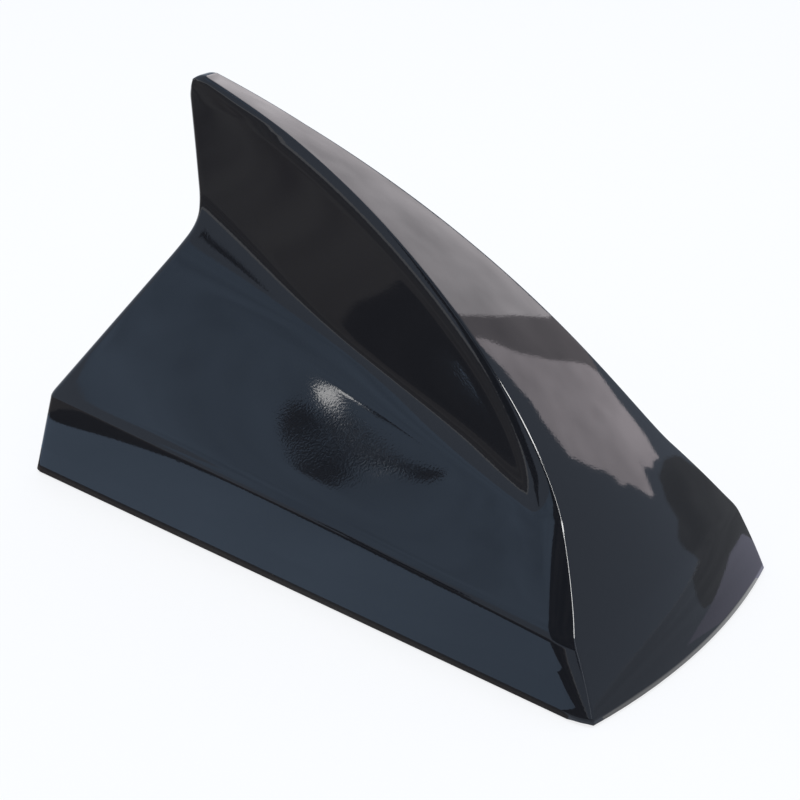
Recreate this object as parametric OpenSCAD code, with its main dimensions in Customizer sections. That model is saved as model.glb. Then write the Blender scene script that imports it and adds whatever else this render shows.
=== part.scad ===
/* [Cover outline] */
// Length over the foot of the cover
length = 145.4; // [140:0.2:156]
// Width over the foot of the cover
width = 63.8; // [60:0.2:72]
// Height at which the nose line and the trailing edge would meet above the tip
peak_h = 86; // [80:0.5:94]
// How far the front end of the foot bows out past its two corners
nose_bow = 3.5; // [2:0.1:6]
// Wall of the moulded cover
wall = 2.2; // [1.8:0.1:2.6]
// Height of the seal's edge that shows under the cover
seal_show = 0.5; // [0.3:0.1:0.9]

/* [Skirt] */
// Height of the skirt's top edge at the tail
skirt_tail_h = 19; // [16:0.5:23]
// Part of the nose line that the skirt takes, from the foot up
skirt_share = 0.12; // [0.1:0.01:0.15]
// How far each side of the skirt leans in at its top edge
skirt_lean = 2.4; // [1:0.1:4]
// How far the skirt's tail end leans forward at its top edge
tail_lean = 4.6; // [2:0.2:7]
// How far the skirt's top edge bows up between its ends
skirt_bow = 1.7; // [0:0.1:2.5]

/* [Fin] */
// Height where the fin leaves the shoulder at the tail
root_tail_h = 54.5; // [48:0.5:60]
// Distance of the fin's trailing edge from the tail end, at its root
root_tail_in = 25.2; // [22:0.5:30]
// How far the root line sags between its ends
root_sag = 6.6; // [4:0.5:10]
// Half thickness of the fin at its trailing edge, at the root
root_tail_y = 2.9; // [2.4:0.1:3.4]
// Half width of the front face at the root
root_nose_y = 15.7; // [14:0.5:18]
// Part of the nose line that lies below the root, from the foot up
root_share = 0.31; // [0.28:0.01:0.34]
// How far the tip stands back past the trailing edge's root
tip_overhang = 2.8; // [0:0.2:5]
// Half thickness of the fin at its trailing edge, at the tip
tip_tail_y = 1.5; // [1.2:0.1:2]
// Half width of the front face at the tip
tip_nose_y = 0.9; // [0.7:0.1:1.4]
// Radius of the tip, seen from the side
tip_r = 4.8; // [3:0.1:6]

/* [Nose line] */
// How far the nose line leans back up to its lower handle
foot_handle_x = 13; // [10:0.5:16]
// Height of the nose line's lower handle
foot_handle_h = 34.2; // [30:0.2:38]
// Distance of the nose line's upper handle in front of the tip
tip_handle_x = 69; // [62:0.5:74]
// Drop of the nose line's upper handle below the peak
tip_handle_drop = 15.6; // [13:0.2:18]

/* [Edges] */
// Width of the soft band beside the nose edge
edge_band = 4.2; // [3:0.1:6]
// How far that band rolls inward
edge_roll = 1.2; // [0.6:0.1:1.6]
// Radius of the tail's upright corners
tail_corner_r = 1.8; // [1.2:0.1:3]
// How far the tail face bows out between its corners
tail_bow = 0.8; // [0.2:0.1:2]

/* [Base plate] */
// Thickness of the foam pad under the base plate
pad_t = 1.2; // [1:0.1:1.6]
// Thickness of the die-cast base plate
plate_t = 2.5; // [2:0.1:3.5]
// Thickness of the seal's leg between the cover and the base plate
seal_leg_t = 1.6; // [1.2:0.1:2.2]
// Height of the seal's leg above the roof
seal_leg_h = 4.4; // [4:0.1:5.5]
// How far the seal's sole reaches in under the base plate
seal_sole = 3; // [2:0.5:5]
// Distance of the roof bolt from the middle, towards the nose
bolt_x = 2; // [0:0.5:5]
// Tapping radius of the brass insert
insert_bore_r = 2.5; // [2:0.1:3]
// Outer radius of the brass insert
insert_r = 4.2; // [3.8:0.1:5]
// Length of the brass insert
insert_l = 10; // [7:0.5:11]
// Distance of the cable port from the middle, towards the tail
port_x = 20; // [18:0.5:22]
// Radius of the base plate's cable port
port_r = 6.5; // [5:0.1:7]
// Radius of the grommet's bore
grommet_bore_r = 3.6; // [2.5:0.1:4.4]

/* [Circuit boards] */
// Height of the board above the base plate
board_lift = 2.8; // [2.4:0.1:4]
// Thickness of both circuit boards
board_t = 1.6; // [1:0.2:2]
// Side of the square satellite patch
patch_a = 25; // [18:1:26]
// Thickness of the satellite patch
patch_t = 4; // [3:0.5:6]
// Height of the loading coil's former
coil_h = 13; // [9:0.5:15]
// Radius of the loading coil's flanges
coil_r = 4.4; // [3.6:0.1:5]

/* [Fasteners] */
// Shank radius of the cover's tapping screws
cover_screw_r = 1.3; // [1.1:0.1:1.6]
// Shank radius of the board's screws
board_screw_r = 1; // [0.8:0.1:1.2]

/* [Hidden] */
$fn = 48;

// Clearances between neighbouring pieces
slip = 0.05;
loose = 0.3;
air = 0.8;
over = 1;

// Small helpers
function clamp(v, lo, hi) = min(max(v, lo), hi);
function mix(a, b, k) = a + (b - a) * k;
function ease(k) = let (c = clamp(k, 0, 1)) c * c * (3 - 2 * c);
function unit(v) = v / norm(v);
// Nought before the corner and d after it, with the corner rounded over r to each side
function hinge(d, r) = d <= -r ? 0 : d >= r ? d : (d + r) * (d + r) / (4 * r);
function bezier(p, t) =
    pow(1 - t, 3) * p[0] + 3 * pow(1 - t, 2) * t * p[1] + 3 * (1 - t) * t * t * p[2] + pow(t, 3) * p[3];
function bezier_way(p, t) =
    pow(1 - t, 2) * (p[1] - p[0]) + 2 * (1 - t) * t * (p[2] - p[1]) + t * t * (p[3] - p[2]);

// Side view of the cover, as distance along the car and height
foot_tail = [-length / 2 + tail_bow, seal_show];
foot_nose = [length / 2 - nose_bow, seal_show];
skirt_tail = [foot_tail[0] + tail_lean, skirt_tail_h];
root_tail = [foot_tail[0] + root_tail_in, root_tail_h];
peak = [root_tail[0] - tip_overhang, peak_h];
nose_line = [
    foot_nose,
    [foot_nose[0] - foot_handle_x, foot_handle_h],
    [peak[0] + tip_handle_x, peak_h - tip_handle_drop],
    peak
];

// The tip is an arc between the trailing edge and the nose line
tip_back = unit(root_tail - peak);
tip_fore = unit(nose_line[2] - peak);
tip_half = acos(tip_back * tip_fore) / 2;
tip_run = tip_r / tan(tip_half);
tip_mid = peak + unit(tip_back + tip_fore) * tip_r / sin(tip_half);
tip_level = 3 - tip_run / norm(peak - root_tail);
tip_share = 1 - tip_run / norm(3 * (peak - nose_line[2]));
function tip_part(v) = max(0, (v - tip_level) / (3 - tip_level));
function tip_arc(way, k) =
    tip_mid + tip_r * unit(mix(unit(peak + way * tip_run - tip_mid), unit(peak - tip_mid), k));

// Levels run 0 to 1 up the skirt, 1 to 2 up the shoulder and 2 to 3 up the fin.
// Each level is one ring round the cover, from its tail end to its nose end.
foot_soft = 0.02;
tail_soft = 0.09;
nose_soft = 0.22;
arc_start = 0.5;
function tail_line(v) =
    let (a = hinge(v - 1, foot_soft), b = hinge(v - 2, tail_soft))
    foot_tail + (skirt_tail - foot_tail) * (v - a) + (root_tail - skirt_tail) * (a - b)
    + (peak - root_tail) * b;
function nose_run(v) =
    let (a = hinge(v - 1, nose_soft), b = hinge(v - 2, nose_soft))
    skirt_share * (v - a) + (root_share - skirt_share) * (a - b) + (1 - root_share) * b;
function nose_share(v) =
    v <= tip_level ? nose_run(v) : mix(nose_run(tip_level), tip_share, min(tip_part(v) / arc_start, 1));
function tail_at(v) = v <= tip_level ? tail_line(v) : tip_arc(tip_back, tip_part(v));
function nose_at(v) =
    tip_part(v) <= arc_start ? bezier(nose_line, nose_share(v))
    : tip_arc(tip_fore, (tip_part(v) - arc_start) / (1 - arc_start));
function dip_at(v) =
    let (a = hinge(v - 1, nose_soft), b = hinge(v - 2, nose_soft))
    ((root_sag + skirt_bow) * (a - b) - skirt_bow * (v - a)) * pow(clamp(1 - b, 0, 1), 2);
function side_point(v, s) = mix(tail_at(v), nose_at(v), s) - [0, 4 * s * (1 - s) * dip_at(v)];

// Half width of the cover's side at a level, from the tail at 0 to the nose at 1
fin_spread = 1.25;
fin_hollow = 1.8;
skirt_y = width / 2 - skirt_lean;
function roll_at(v) = min(edge_roll, 0.35 * mix(tip_nose_y, root_nose_y, clamp(3 - v, 0, 1)));
function fin_tail_y(u) = mix(root_tail_y, tip_tail_y, u);
function fin_nose_y(u) =
    tip_nose_y + (root_nose_y - tip_nose_y) * pow(1 - u, fin_spread) + roll_at(2 + u);
function fin_y(u, s) = mix(fin_tail_y(u), fin_nose_y(u), pow(s, fin_hollow));
function skirt_soft(s) = mix(0.03, 0.08, ease(s / 0.3));
function root_soft(s) = mix(0.22, 0.05, ease((s - 0.05) / 0.45)) + 0.2 * ease((s - 0.86) / 0.14);
function side_y(v, s) =
    let (a = hinge(v - 1, skirt_soft(s)), b = hinge(v - 2, root_soft(s)))
    width / 2 - skirt_lean * (v - a) + (fin_y(0, s) - skirt_y) * (a - b)
    + fin_y(clamp(b, 0, 1), s) - fin_y(0, s);

// Direction of the nose line, and the angle between it and the ring
function nose_rise(v) = let (w = bezier_way(nose_line, nose_share(v))) atan2(w[1], -w[0]);
function ring_slope(v) = let (d = nose_at(v) - tail_at(v)) atan2(d[1], d[0]);
function nose_gap(v) = clamp(nose_rise(v) + ring_slope(v), 12, 90);
function nose_tilt(v) =
    tip_part(v) > arc_start ? atan2(nose_at(v)[1] - tip_mid[1], nose_at(v)[0] - tip_mid[0])
    : (90 - nose_rise(v)) * ease(nose_share(v) / skirt_share);

// Each half ring has the same points, so that neighbouring rings join up
tail_steps = 3;
corner_steps = 4;
side_steps = 12;
band_steps = 5;
front_steps = 5;
half_points = tail_steps + corner_steps + side_steps + band_steps + front_steps + 1;

// From the middle of the nose edge's bow back to the corner, and the bow's depth at a half width
bow_fade = 1.6;
foot_nose_y = width / 2 - edge_roll;
function bow_at(y) = nose_bow * pow(y / foot_nose_y, bow_fade);
function front_points(p, y_end, bow, tilt) = [for (i = [0:front_steps])
    let (k = 1 - i / front_steps, out = bow * (1 - k * k))
    [p[0] + out * cos(tilt), y_end * k, p[1] + out * sin(tilt)]];

function tail_out(v) = tail_bow * (1 - ease(tip_part(v) / arc_start));

function outer_ring(v) =
    let (
        tail = tail_at(v),
        long = norm(nose_at(v) - tail),
        run = min(tail_corner_r, 0.3 * long) / long,
        start_y = side_y(v, run),
        corner_y = min(tail_corner_r, 0.8 * start_y),
        band = min(edge_band / sin(nose_gap(v)), 0.45 * long) / long,
        roll = roll_at(v),
        end_y = side_y(v, 1) - roll
    )
    concat(
        [for (i = [0:tail_steps - 1])
            let (k = i / tail_steps)
            [tail[0] - tail_out(v) * (1 - k * k), (start_y - corner_y) * k, tail[1]]],
        [for (i = [0:corner_steps - 1])
            let (a = 90 * i / corner_steps, p = side_point(v, run * (1 - cos(a))))
            [p[0], start_y - corner_y * (1 - sin(a)), p[1]]],
        [for (i = [0:side_steps - 1])
            let (s = mix(run, 1 - band, i / side_steps), p = side_point(v, s))
            [p[0], side_y(v, s), p[1]]],
        [for (i = [0:band_steps - 1])
            let (k = i / band_steps, s = mix(1 - band, 1, k), p = side_point(v, s))
            [p[0], side_y(v, s) - roll * k * k, p[1]]],
        front_points(nose_at(v), end_y, bow_at(end_y), nose_tilt(v))
    );

// The inner skin keeps a wall inside the outer one, and stops where the fin gets too thin for a core
core_y = 0.6;
shoulder_wall = 1.3;
tail_wall = 1.2;
nose_wall = 1.15;
function side_wall(v) =
    let (a = hinge(v - 1, nose_soft), b = hinge(v - 2, nose_soft))
    wall * mix(1, shoulder_wall, clamp(a - b, 0, 1) * (1 - clamp(b * 2, 0, 1)));
function core_start(v, y) =
    let (y0 = side_y(v, 0), y1 = side_y(v, 1), short = y + side_wall(v) - y0)
    short <= 0 ? 0 : pow(clamp(short / (y1 - y0), 0, 1), 1 / fin_hollow);
function inner_ring(v) =
    let (
        long = norm(nose_at(v) - tail_at(v)),
        first = max(tail_wall * wall / long, core_start(v, core_y)),
        last = 1 - nose_wall * wall / sin(nose_gap(v)) / long,
        start_y = side_y(v, first) - side_wall(v),
        end_y = side_y(v, last) - side_wall(v) - roll_at(v) / 2,
        start = side_point(v, first),
        across = tail_steps + corner_steps
    )
    concat(
        [for (i = [0:across - 1]) [start[0], start_y * i / across, start[1]]],
        [for (i = [0:side_steps + band_steps - 1])
            let (k = i / (side_steps + band_steps), s = mix(first, last, k), p = side_point(v, s))
            [p[0], side_y(v, s) - side_wall(v) - roll_at(v) / 2 * pow(k, 8), p[1]]],
        front_points(side_point(v, last), end_y, bow_at(end_y), nose_tilt(v))
    );

outer_levels = concat(
    [for (i = [0:2]) i / 3],
    [for (i = [0:9]) 1 + i / 10],
    [for (i = [0:12]) mix(2, tip_level, i / 13)],
    [for (i = [0:5]) mix(tip_level, 3, i / 6)]
);
core_top = 2.68;
inner_levels = concat(
    [for (i = [0:2]) i / 3],
    [for (i = [0:4]) 1 + i / 5],
    [for (i = [0:6]) mix(2, core_top, i / 6)]
);

function mirrored(half) = [for (p = half) [p[0], -p[1], p[2]]];

// Faces of a skin between rings of mirrored half rings; turned over for an inner skin
function turned(faces, inward) = [for (f = faces) inward ? [f[0], f[2], f[1]] : f];
function skin_faces(count, first, inward) = let (m = half_points) turned(
    [for (k = [0:count - 2], i = [0:m - 2])
        let (a = first + 2 * m * k + i, b = a + 1, c = b + 2 * m, d = a + 2 * m)
        each [[a, c, d], [a, b, c], [a + m, d + m, c + m], [a + m, c + m, b + m]]], inward);
function cap_faces(first, inward) = let (m = half_points) turned(
    [for (i = [0:m - 2]) let (a = first + i)
        each [if (i < m - 2) [a, a + 1, a + 1 + m], if (i > 0) [a, a + 1 + m, a + m]]], inward);

module cover_shell() {
    m = half_points;
    outer = [for (v = outer_levels) outer_ring(v)];
    inner = [for (v = inner_levels) inner_ring(v)];
    points = [for (half = concat(outer, inner)) each concat(half, mirrored(half))];
    n = len(outer);
    i0 = 2 * m * n;
    rim = [for (i = [0:m - 2]) let (a = i, b = i0 + i)
        each [[a, b, b + 1], [a, b + 1, a + 1], [a + m, b + 1 + m, b + m], [a + m, a + 1 + m, b + 1 + m]]];
    polyhedron(points, concat(
        skin_faces(n, 0, false),
        cap_faces(2 * m * (n - 1), false),
        skin_faces(len(inner), i0, true),
        cap_faces(i0 + 2 * m * (len(inner) - 1), true),
        rim
    ));
}

// Height of the wall's middle over a point of the plan, for what hangs from the shoulder
function level_over(x, y, lo, hi, n) =
    let (v = (lo + hi) / 2, s = (x - tail_at(v)[0]) / (nose_at(v)[0] - tail_at(v)[0]))
    n == 0 ? v : side_y(v, clamp(s, 0, 1)) > y ? level_over(x, y, v, hi, n - 1)
    : level_over(x, y, lo, v, n - 1);
function shoulder_h(x, y) =
    let (v = level_over(x, abs(y), 1, 2, 10), s = (x - tail_at(v)[0]) / (nose_at(v)[0] - tail_at(v)[0]))
    side_point(v, clamp(s, 0, 1))[1] - 0.6 * wall;

// Plan of the foot, set in by a distance, at a height above the roof
skirt_nose_h = bezier(nose_line, skirt_share)[1];
bow_r = (foot_nose_y * foot_nose_y + nose_bow * nose_bow) / (2 * nose_bow);
module plan(inset, h) {
    half = width / 2 - skirt_lean * h / skirt_nose_h - inset;
    back = foot_tail[0] + tail_lean * h / skirt_tail_h + inset;
    front = length / 2 - foot_handle_x * h / foot_handle_h - inset * nose_wall;
    corner = max(tail_corner_r - inset, 0.8);
    side = front - bow_r + sqrt(bow_r * bow_r - half * half);
    difference() {
        plan_outline(half, back, front, corner);
        for (flip = [0, 1]) mirror([0, flip]) polygon([
            [side - edge_band, half],
            [side + over, half - edge_roll * (1 + over / edge_band)],
            [side + over, half + over]
        ]);
    }
}
module plan_outline(half, back, front, corner) {
    intersection() {
        union() {
            translate([back + corner, -half]) square([front - back - corner, 2 * half]);
            translate([back, corner - half]) square([front - back, 2 * (half - corner)]);
            for (side = [-1, 1]) translate([back + corner, side * (half - corner)]) circle(corner);
        }
        translate([front - bow_r, 0]) circle(bow_r, $fn = 120);
    }
}

// Heights of the layers, from the roof up
plate_z = pad_t;
plate_top = plate_z + plate_t;
board_z = plate_top + board_lift;
board_top = board_z + board_t;
leg_in = 1.2 * wall + loose;
plate_in = leg_in + seal_leg_t + slip;
sole_in = plate_in + seal_sole;

// Places in plan
bolt_r = insert_r + 3.4;
bolt_h = plate_z + insert_l + 1.6;
flange_r = port_r + 1.6;
boss_r = 3.4;
boss_y = width / 2 - 12.2;
boss_tail_in = 19.7;
boss_nose_in = 28.7;
boss_xs = [boss_tail_in - length / 2, length / 2 - boss_nose_in];
boss_z = board_top + 1;
screw_head_r = 2.6;
screw_head_t = 1.6;
screw_in = 0.4;
screw_into = 9;
post_r = 2.6;
post_y = boss_y - 3.7;
post_reach = 22;
post_xs = [2 - port_x - post_reach, bolt_x + post_reach];
foot_w = 5;
rear_foot_x = -port_x - flange_r - 5.6;
front_foot_x = bolt_x + bolt_r + air + 1.6;
coil_x = front_foot_x + foot_w + coil_r + 1.4;
patch_x = length / 2 - 29.7;
rear_el_x = 14.2 - length / 2;
board_screw_head_r = 2.1;
board_screw_head_t = 1.5;
vent_x = -port_x - 14;
vent_y = 0.7 - boss_y;
vent_r = 3;
clip_t = 0.4;
fin_board_z = bolt_h + 1.4;

module at_bosses() {
    for (x = boss_xs, y = [-boss_y, boss_y]) translate([x, y, 0]) children();
}
module at_posts() {
    for (x = post_xs, y = [-post_y, post_y]) translate([x, y, 0]) children();
}

// Screw boss that hangs from the shoulder, and the rib that ties it to the side wall
boss_facets = 20;
rib_t = 1.4;
module cover_boss(x, y) {
    hull() {
        translate([x, y, boss_z]) cylinder(h = 0.1, r = boss_r, $fn = boss_facets);
        for (i = [0:boss_facets - 1])
            let (px = x + boss_r * cos(360 * i / boss_facets), py = y + boss_r * sin(360 * i / boss_facets))
            translate([px, py, shoulder_h(px, py)]) cube(0.02, center = true);
    }
}
module cover_rib(x, side) {
    hull() for (k = [0, 0.5, 1])
        let (py = mix(boss_y, skirt_y - wall / 2, k), low = mix(boss_z + 5, skirt_nose_h + 2, k))
        translate([x - rib_t / 2, side * py, low]) cube([rib_t, 0.02, shoulder_h(x, py) - low]);
}

// Moulded cover: one thin shell with four ribbed screw bosses
module cover() {
    color([0.13, 0.14, 0.16])
    difference() {
        union() {
            cover_shell();
            for (x = boss_xs, side = [-1, 1]) {
                cover_boss(x, side * boss_y);
                cover_rib(x, side);
            }
        }
        at_bosses() translate([0, 0, boss_z - over]) cylinder(h = screw_into + 1.5, r = cover_screw_r);
    }
}

// Die-cast base plate, with a blind boss for the insert, board posts and screw bosses
module base_plate() {
    color([0.62, 0.63, 0.64])
    difference() {
        union() {
            translate([0, 0, plate_z]) linear_extrude(plate_t) plan(plate_in, seal_leg_h);
            translate([bolt_x, 0, plate_z]) cylinder(h = bolt_h - plate_z, r = bolt_r);
            for (a = [45:90:315]) translate([bolt_x, 0, plate_z]) rotate(a)
                translate([0, -0.8, 0]) cube([bolt_r + 3.2, 1.6, plate_t + board_lift - loose]);
            at_posts() translate([0, 0, plate_z]) cylinder(h = board_z - plate_z, r = post_r);
            at_bosses() translate([0, 0, plate_z]) cylinder(h = boss_z - plate_z - slip, r = boss_r + 0.8);
        }
        translate([bolt_x, 0, plate_z - over]) cylinder(h = insert_l + slip + over, r = insert_r + slip);
        translate([-port_x, 0, plate_z - over]) cylinder(h = plate_t + 2 * over, r = port_r + slip);
        translate([vent_x, vent_y, plate_z - over]) cylinder(h = plate_t + 2 * over, r = vent_r + slip);
        at_posts() translate([0, 0, plate_z + 1]) cylinder(h = board_z, r = board_screw_r + slip);
        at_bosses() {
            translate([0, 0, plate_z - over])
                cylinder(h = screw_in + screw_head_t + over, r = screw_head_r + loose);
            translate([0, 0, plate_z]) cylinder(h = boss_z, r = cover_screw_r + loose);
        }
    }
}

// Rubber seal: a sole under the cover's rim and the plate's edge, and a leg between them
module perimeter_seal() {
    color([0.06, 0.06, 0.06])
    difference() {
        union() {
            linear_extrude(seal_show) plan(0.3, 0);
            linear_extrude(seal_leg_h) plan(leg_in, seal_leg_h);
        }
        translate([0, 0, pad_t]) linear_extrude(seal_leg_h) plan(plate_in, seal_leg_h);
        translate([0, 0, -over]) linear_extrude(seal_leg_h) plan(sole_in, seal_leg_h);
    }
}

module roof_pad() {
    color([0.16, 0.16, 0.17])
    linear_extrude(pad_t) difference() {
        plan(sole_in + loose, seal_leg_h);
        translate([bolt_x, 0]) circle(ring_r + loose);
        translate([-port_x, 0]) circle(flange_r + loose);
        translate([vent_x, vent_y]) circle(vent_r);
    }
}

module threaded_insert() {
    color([0.72, 0.58, 0.28])
    translate([bolt_x, 0, plate_z]) difference() {
        cylinder(h = insert_l, r = insert_r);
        translate([0, 0, -over]) cylinder(h = insert_l + 2 * over, r = insert_bore_r);
    }
}

// Toothed ring that bites through the paint and earths the base plate
ring_r = insert_r + 6;
ring_t = 0.8;
ring_teeth = 18;
module earth_ring() {
    color([0.7, 0.71, 0.72])
    translate([bolt_x, 0, plate_z - ring_t]) linear_extrude(ring_t) difference() {
        circle(ring_r);
        circle(insert_r + 1);
        for (i = [0:ring_teeth - 1]) rotate(360 * i / ring_teeth)
            translate([ring_r, 0]) circle(ring_r * 0.08, $fn = 16);
    }
}

// Rubber grommet, its groove over the edge of the base plate's port
grommet_lip = 1.3;
module cable_grommet() {
    color([0.08, 0.08, 0.08])
    translate([-port_x, 0, 0]) rotate_extrude() polygon([
        [grommet_bore_r, 0],
        [flange_r, 0],
        [flange_r, plate_z],
        [port_r, plate_z],
        [port_r, plate_top],
        [flange_r - 0.4, plate_top],
        [flange_r - 0.8, plate_top + grommet_lip],
        [grommet_bore_r, plate_top + grommet_lip]
    ]);
}

module vent_plug() {
    color([0.85, 0.85, 0.84])
    translate([vent_x, vent_y, plate_z]) rotate_extrude() polygon([
        [0, 0], [vent_r, 0], [vent_r, plate_t], [vent_r + 1, plate_t], [vent_r + 0.6, plate_t + 1],
        [0, plate_t + 1]
    ]);
}

module cover_screws() {
    color([0.75, 0.76, 0.78])
    at_bosses() translate([0, 0, plate_z + screw_in]) difference() {
        union() {
            cylinder(h = screw_head_t, r = screw_head_r);
            cylinder(h = boss_z - plate_z + screw_into - 1, r = cover_screw_r - slip);
        }
        translate([0, 0, -over]) cylinder(h = 0.8 + over, r = 1.2, $fn = 6);
    }
}

// Main board, with holes for the bolt boss and the port and notches for the cover's bosses
board_in = plate_in + 1.2;
module main_board() {
    color([0.1, 0.32, 0.2])
    translate([0, 0, board_z]) linear_extrude(board_t) difference() {
        plan(board_in + 1.5, board_top);
        translate([bolt_x, 0]) circle(bolt_r + air);
        translate([-port_x, 0]) circle(flange_r);
        at_posts() circle(board_screw_r + 0.2);
        at_bosses() circle(boss_r + 0.8 + air);
        translate([pin_x, pin_y]) circle(pin_r + slip);
    }
}

module board_screws() {
    color([0.78, 0.79, 0.8])
    at_posts() difference() {
        union() {
            translate([0, 0, board_top]) cylinder(h = board_screw_head_t, r = board_screw_head_r);
            translate([0, 0, plate_z + 1.4]) cylinder(h = board_top - plate_z, r = board_screw_r);
        }
        translate([0, 0, board_top + 0.6]) cylinder(h = 2, r = 0.9, $fn = 6);
    }
}

// Folded tin can over the amplifier, open underneath
can_x = rear_el_x + 8.5;
can_l = rear_foot_x - 1.3 - can_x;
can_w = 22;
can_pitch = 3.2;
can_hole_r = 0.6;
can_h = 3.4;
can_t = 0.3;
module shield_can() {
    color([0.78, 0.79, 0.8])
    translate([can_x, -can_w / 2, board_top]) difference() {
        cube([can_l, can_w, can_h]);
        translate([can_t, can_t, -over]) cube([can_l - 2 * can_t, can_w - 2 * can_t, can_h - can_t + over]);
        for (i = [1:floor(can_l / can_pitch)], j = [1:floor(can_w / can_pitch)])
            translate([can_pitch * (i - 0.25), can_pitch * (j - 0.1), can_h - over])
                cylinder(h = 2 * over, r = can_hole_r, $fn = 16);
    }
}

// Amplifier and filter chips, as place, length and width
chip_y = boss_y - 2;
chips = [
    [bolt_x - 2, chip_y, 7, 7], [bolt_x + 7, chip_y, 5, 4], [bolt_x + 14, chip_y, 5, 5],
    [bolt_x - 14, -chip_y, 6, 4], [bolt_x - 2, -chip_y, 5, 5], [bolt_x + 10, -chip_y, 4, 4]
];
chip_t = 0.9;
module board_chips() {
    color([0.08, 0.08, 0.09])
    for (c = chips) translate([c[0] - c[2] / 2, c[1] - c[3] / 2, board_top]) {
        cube([c[2], c[3], chip_t]);
        for (side = [-1, 1]) translate([c[2] / 2 - 1.5, c[3] / 2 - 0.4 + side * (c[3] / 2 + 0.2), 0])
            cube([3, 0.8, 0.3]);
    }
}

socket_y = boss_y - 7.1;
socket_w = 7;
socket_h = 6;
socket_r = 2.3;
module cable_sockets() {
    color([0.45, 0.2, 0.5])
    for (y = [-socket_y, socket_y]) translate([-port_x - 6, y, board_top]) difference() {
        translate([-socket_w / 2, -socket_w / 2, 0]) cube([socket_w, socket_w, socket_h]);
        translate([0, 0, 1]) difference() {
            cylinder(h = socket_h, r = socket_r);
            translate([0, 0, -over]) cylinder(h = socket_h, r = 0.5);
        }
    }
}

// Satellite patch near the nose, on its tape, with its feed pin through the board
tape_t = 0.8;
pin_r = 0.6;
pin_x = patch_x + 2.5;
pin_y = 0;
module patch_block(z, t, chamfer) {
    translate([patch_x, 0, z]) linear_extrude(t) difference() {
        square(patch_a, center = true);
        for (a = [0:90:270]) rotate(a) translate([patch_a / 2, patch_a / 2]) rotate(45)
            square(chamfer, center = true);
        translate([pin_x - patch_x, pin_y]) circle(pin_r + slip, $fn = 24);
    }
}
module patch_tape() {
    color([0.9, 0.9, 0.88]) patch_block(board_top, tape_t, 1);
}
module patch_ceramic() {
    color([0.85, 0.8, 0.7]) patch_block(board_top + tape_t, patch_t, 2);
}
module patch_pin() {
    color([0.8, 0.8, 0.82])
    translate([pin_x, pin_y, 0]) {
        translate([0, 0, board_z - 0.8]) cylinder(h = board_t + tape_t + patch_t + 0.9, r = pin_r, $fn = 24);
        translate([0, 0, board_top + tape_t + patch_t]) cylinder(h = 0.5, r = 1.3, $fn = 24);
    }
}

// Upright board that fills the fin, held by two forks on the main board
rear_foot_rise = 14;
board_air = 1.2;
fin_board_low = 2.15;
fin_board_high = 2.62;
fin_edge_steps = 5;
nose_edge_low = root_share - 0.01;
nose_edge_top = nose_share(fin_board_high) - 0.03;
function fin_board_tail(v) = side_point(v, core_start(v, core_y + board_t / 2) + 0.05);
function fin_board_nose(t) =
    let (w = unit(bezier_way(nose_line, t)))
    bezier(nose_line, t) + [-w[1], w[0]] * (nose_wall * wall + board_air);
fin_board_outline = concat(
    [for (i = [0:fin_edge_steps]) fin_board_tail(mix(fin_board_high, fin_board_low, i / fin_edge_steps))],
    [
        [rear_foot_x, fin_board_z + rear_foot_rise],
        [rear_foot_x, board_top + clip_t],
        [rear_foot_x + foot_w, board_top + clip_t],
        [rear_foot_x + foot_w, fin_board_z],
        [front_foot_x, fin_board_z],
        [front_foot_x, board_top + clip_t],
        [front_foot_x + foot_w, board_top + clip_t],
        [front_foot_x + foot_w, board_top + coil_h + air]
    ],
    [for (i = [0:2 * fin_edge_steps])
        fin_board_nose(mix(nose_edge_low, nose_edge_top, i / (2 * fin_edge_steps)))]
);
module fin_board() {
    color([0.1, 0.32, 0.2])
    rotate([90, 0, 0]) translate([0, 0, -board_t / 2]) linear_extrude(board_t) polygon(fin_board_outline);
}

// Folded brass fork round each foot of the upright board
clip_h = 4.5;
module fin_board_clips() {
    color([0.75, 0.62, 0.3])
    for (x = [rear_foot_x, front_foot_x]) translate([x, 0, board_top]) {
        translate([-0.8, -board_t / 2 - 2, 0]) cube([foot_w + 1.6, board_t + 4, clip_t]);
        for (side = [-1, 1]) translate([0.5, side * (board_t / 2 + slip + clip_t / 2) - clip_t / 2, 0])
            cube([foot_w - 1, clip_t, clip_h]);
    }
}

// Half width of the hollow inside the cover at a place of its side view
function level_at(x, h, lo, hi, n) =
    let (v = (lo + hi) / 2, s = (x - tail_at(v)[0]) / (nose_at(v)[0] - tail_at(v)[0]))
    n == 0 ? v : side_point(v, clamp(s, 0, 1))[1] < h ? level_at(x, h, v, hi, n - 1)
    : level_at(x, h, lo, v, n - 1);
function hollow_y(x, h) =
    let (v = level_at(x, h, 0, 2.9, 10), s = (x - tail_at(v)[0]) / (nose_at(v)[0] - tail_at(v)[0]))
    side_y(v, clamp(s, 0, 1)) - side_wall(v);

// Foam block glued to each face of the upright board, to stop it rattling in the fin
foam_x = 2;
foam_l = 9;
foam_h = 8;
foam_top = root_tail_h - 5;
module fin_board_foam() {
    corners = [for (x = [foam_x, foam_x + foam_l], h = [foam_top - foam_h, foam_top]) hollow_y(x, h)];
    reach = min(corners) - loose;
    color([0.25, 0.25, 0.27])
    for (side = [-1, 1]) translate([foam_x, side > 0 ? board_t / 2 : -reach, foam_top - foam_h])
        cube([foam_l, reach - board_t / 2, foam_h]);
}

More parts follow.
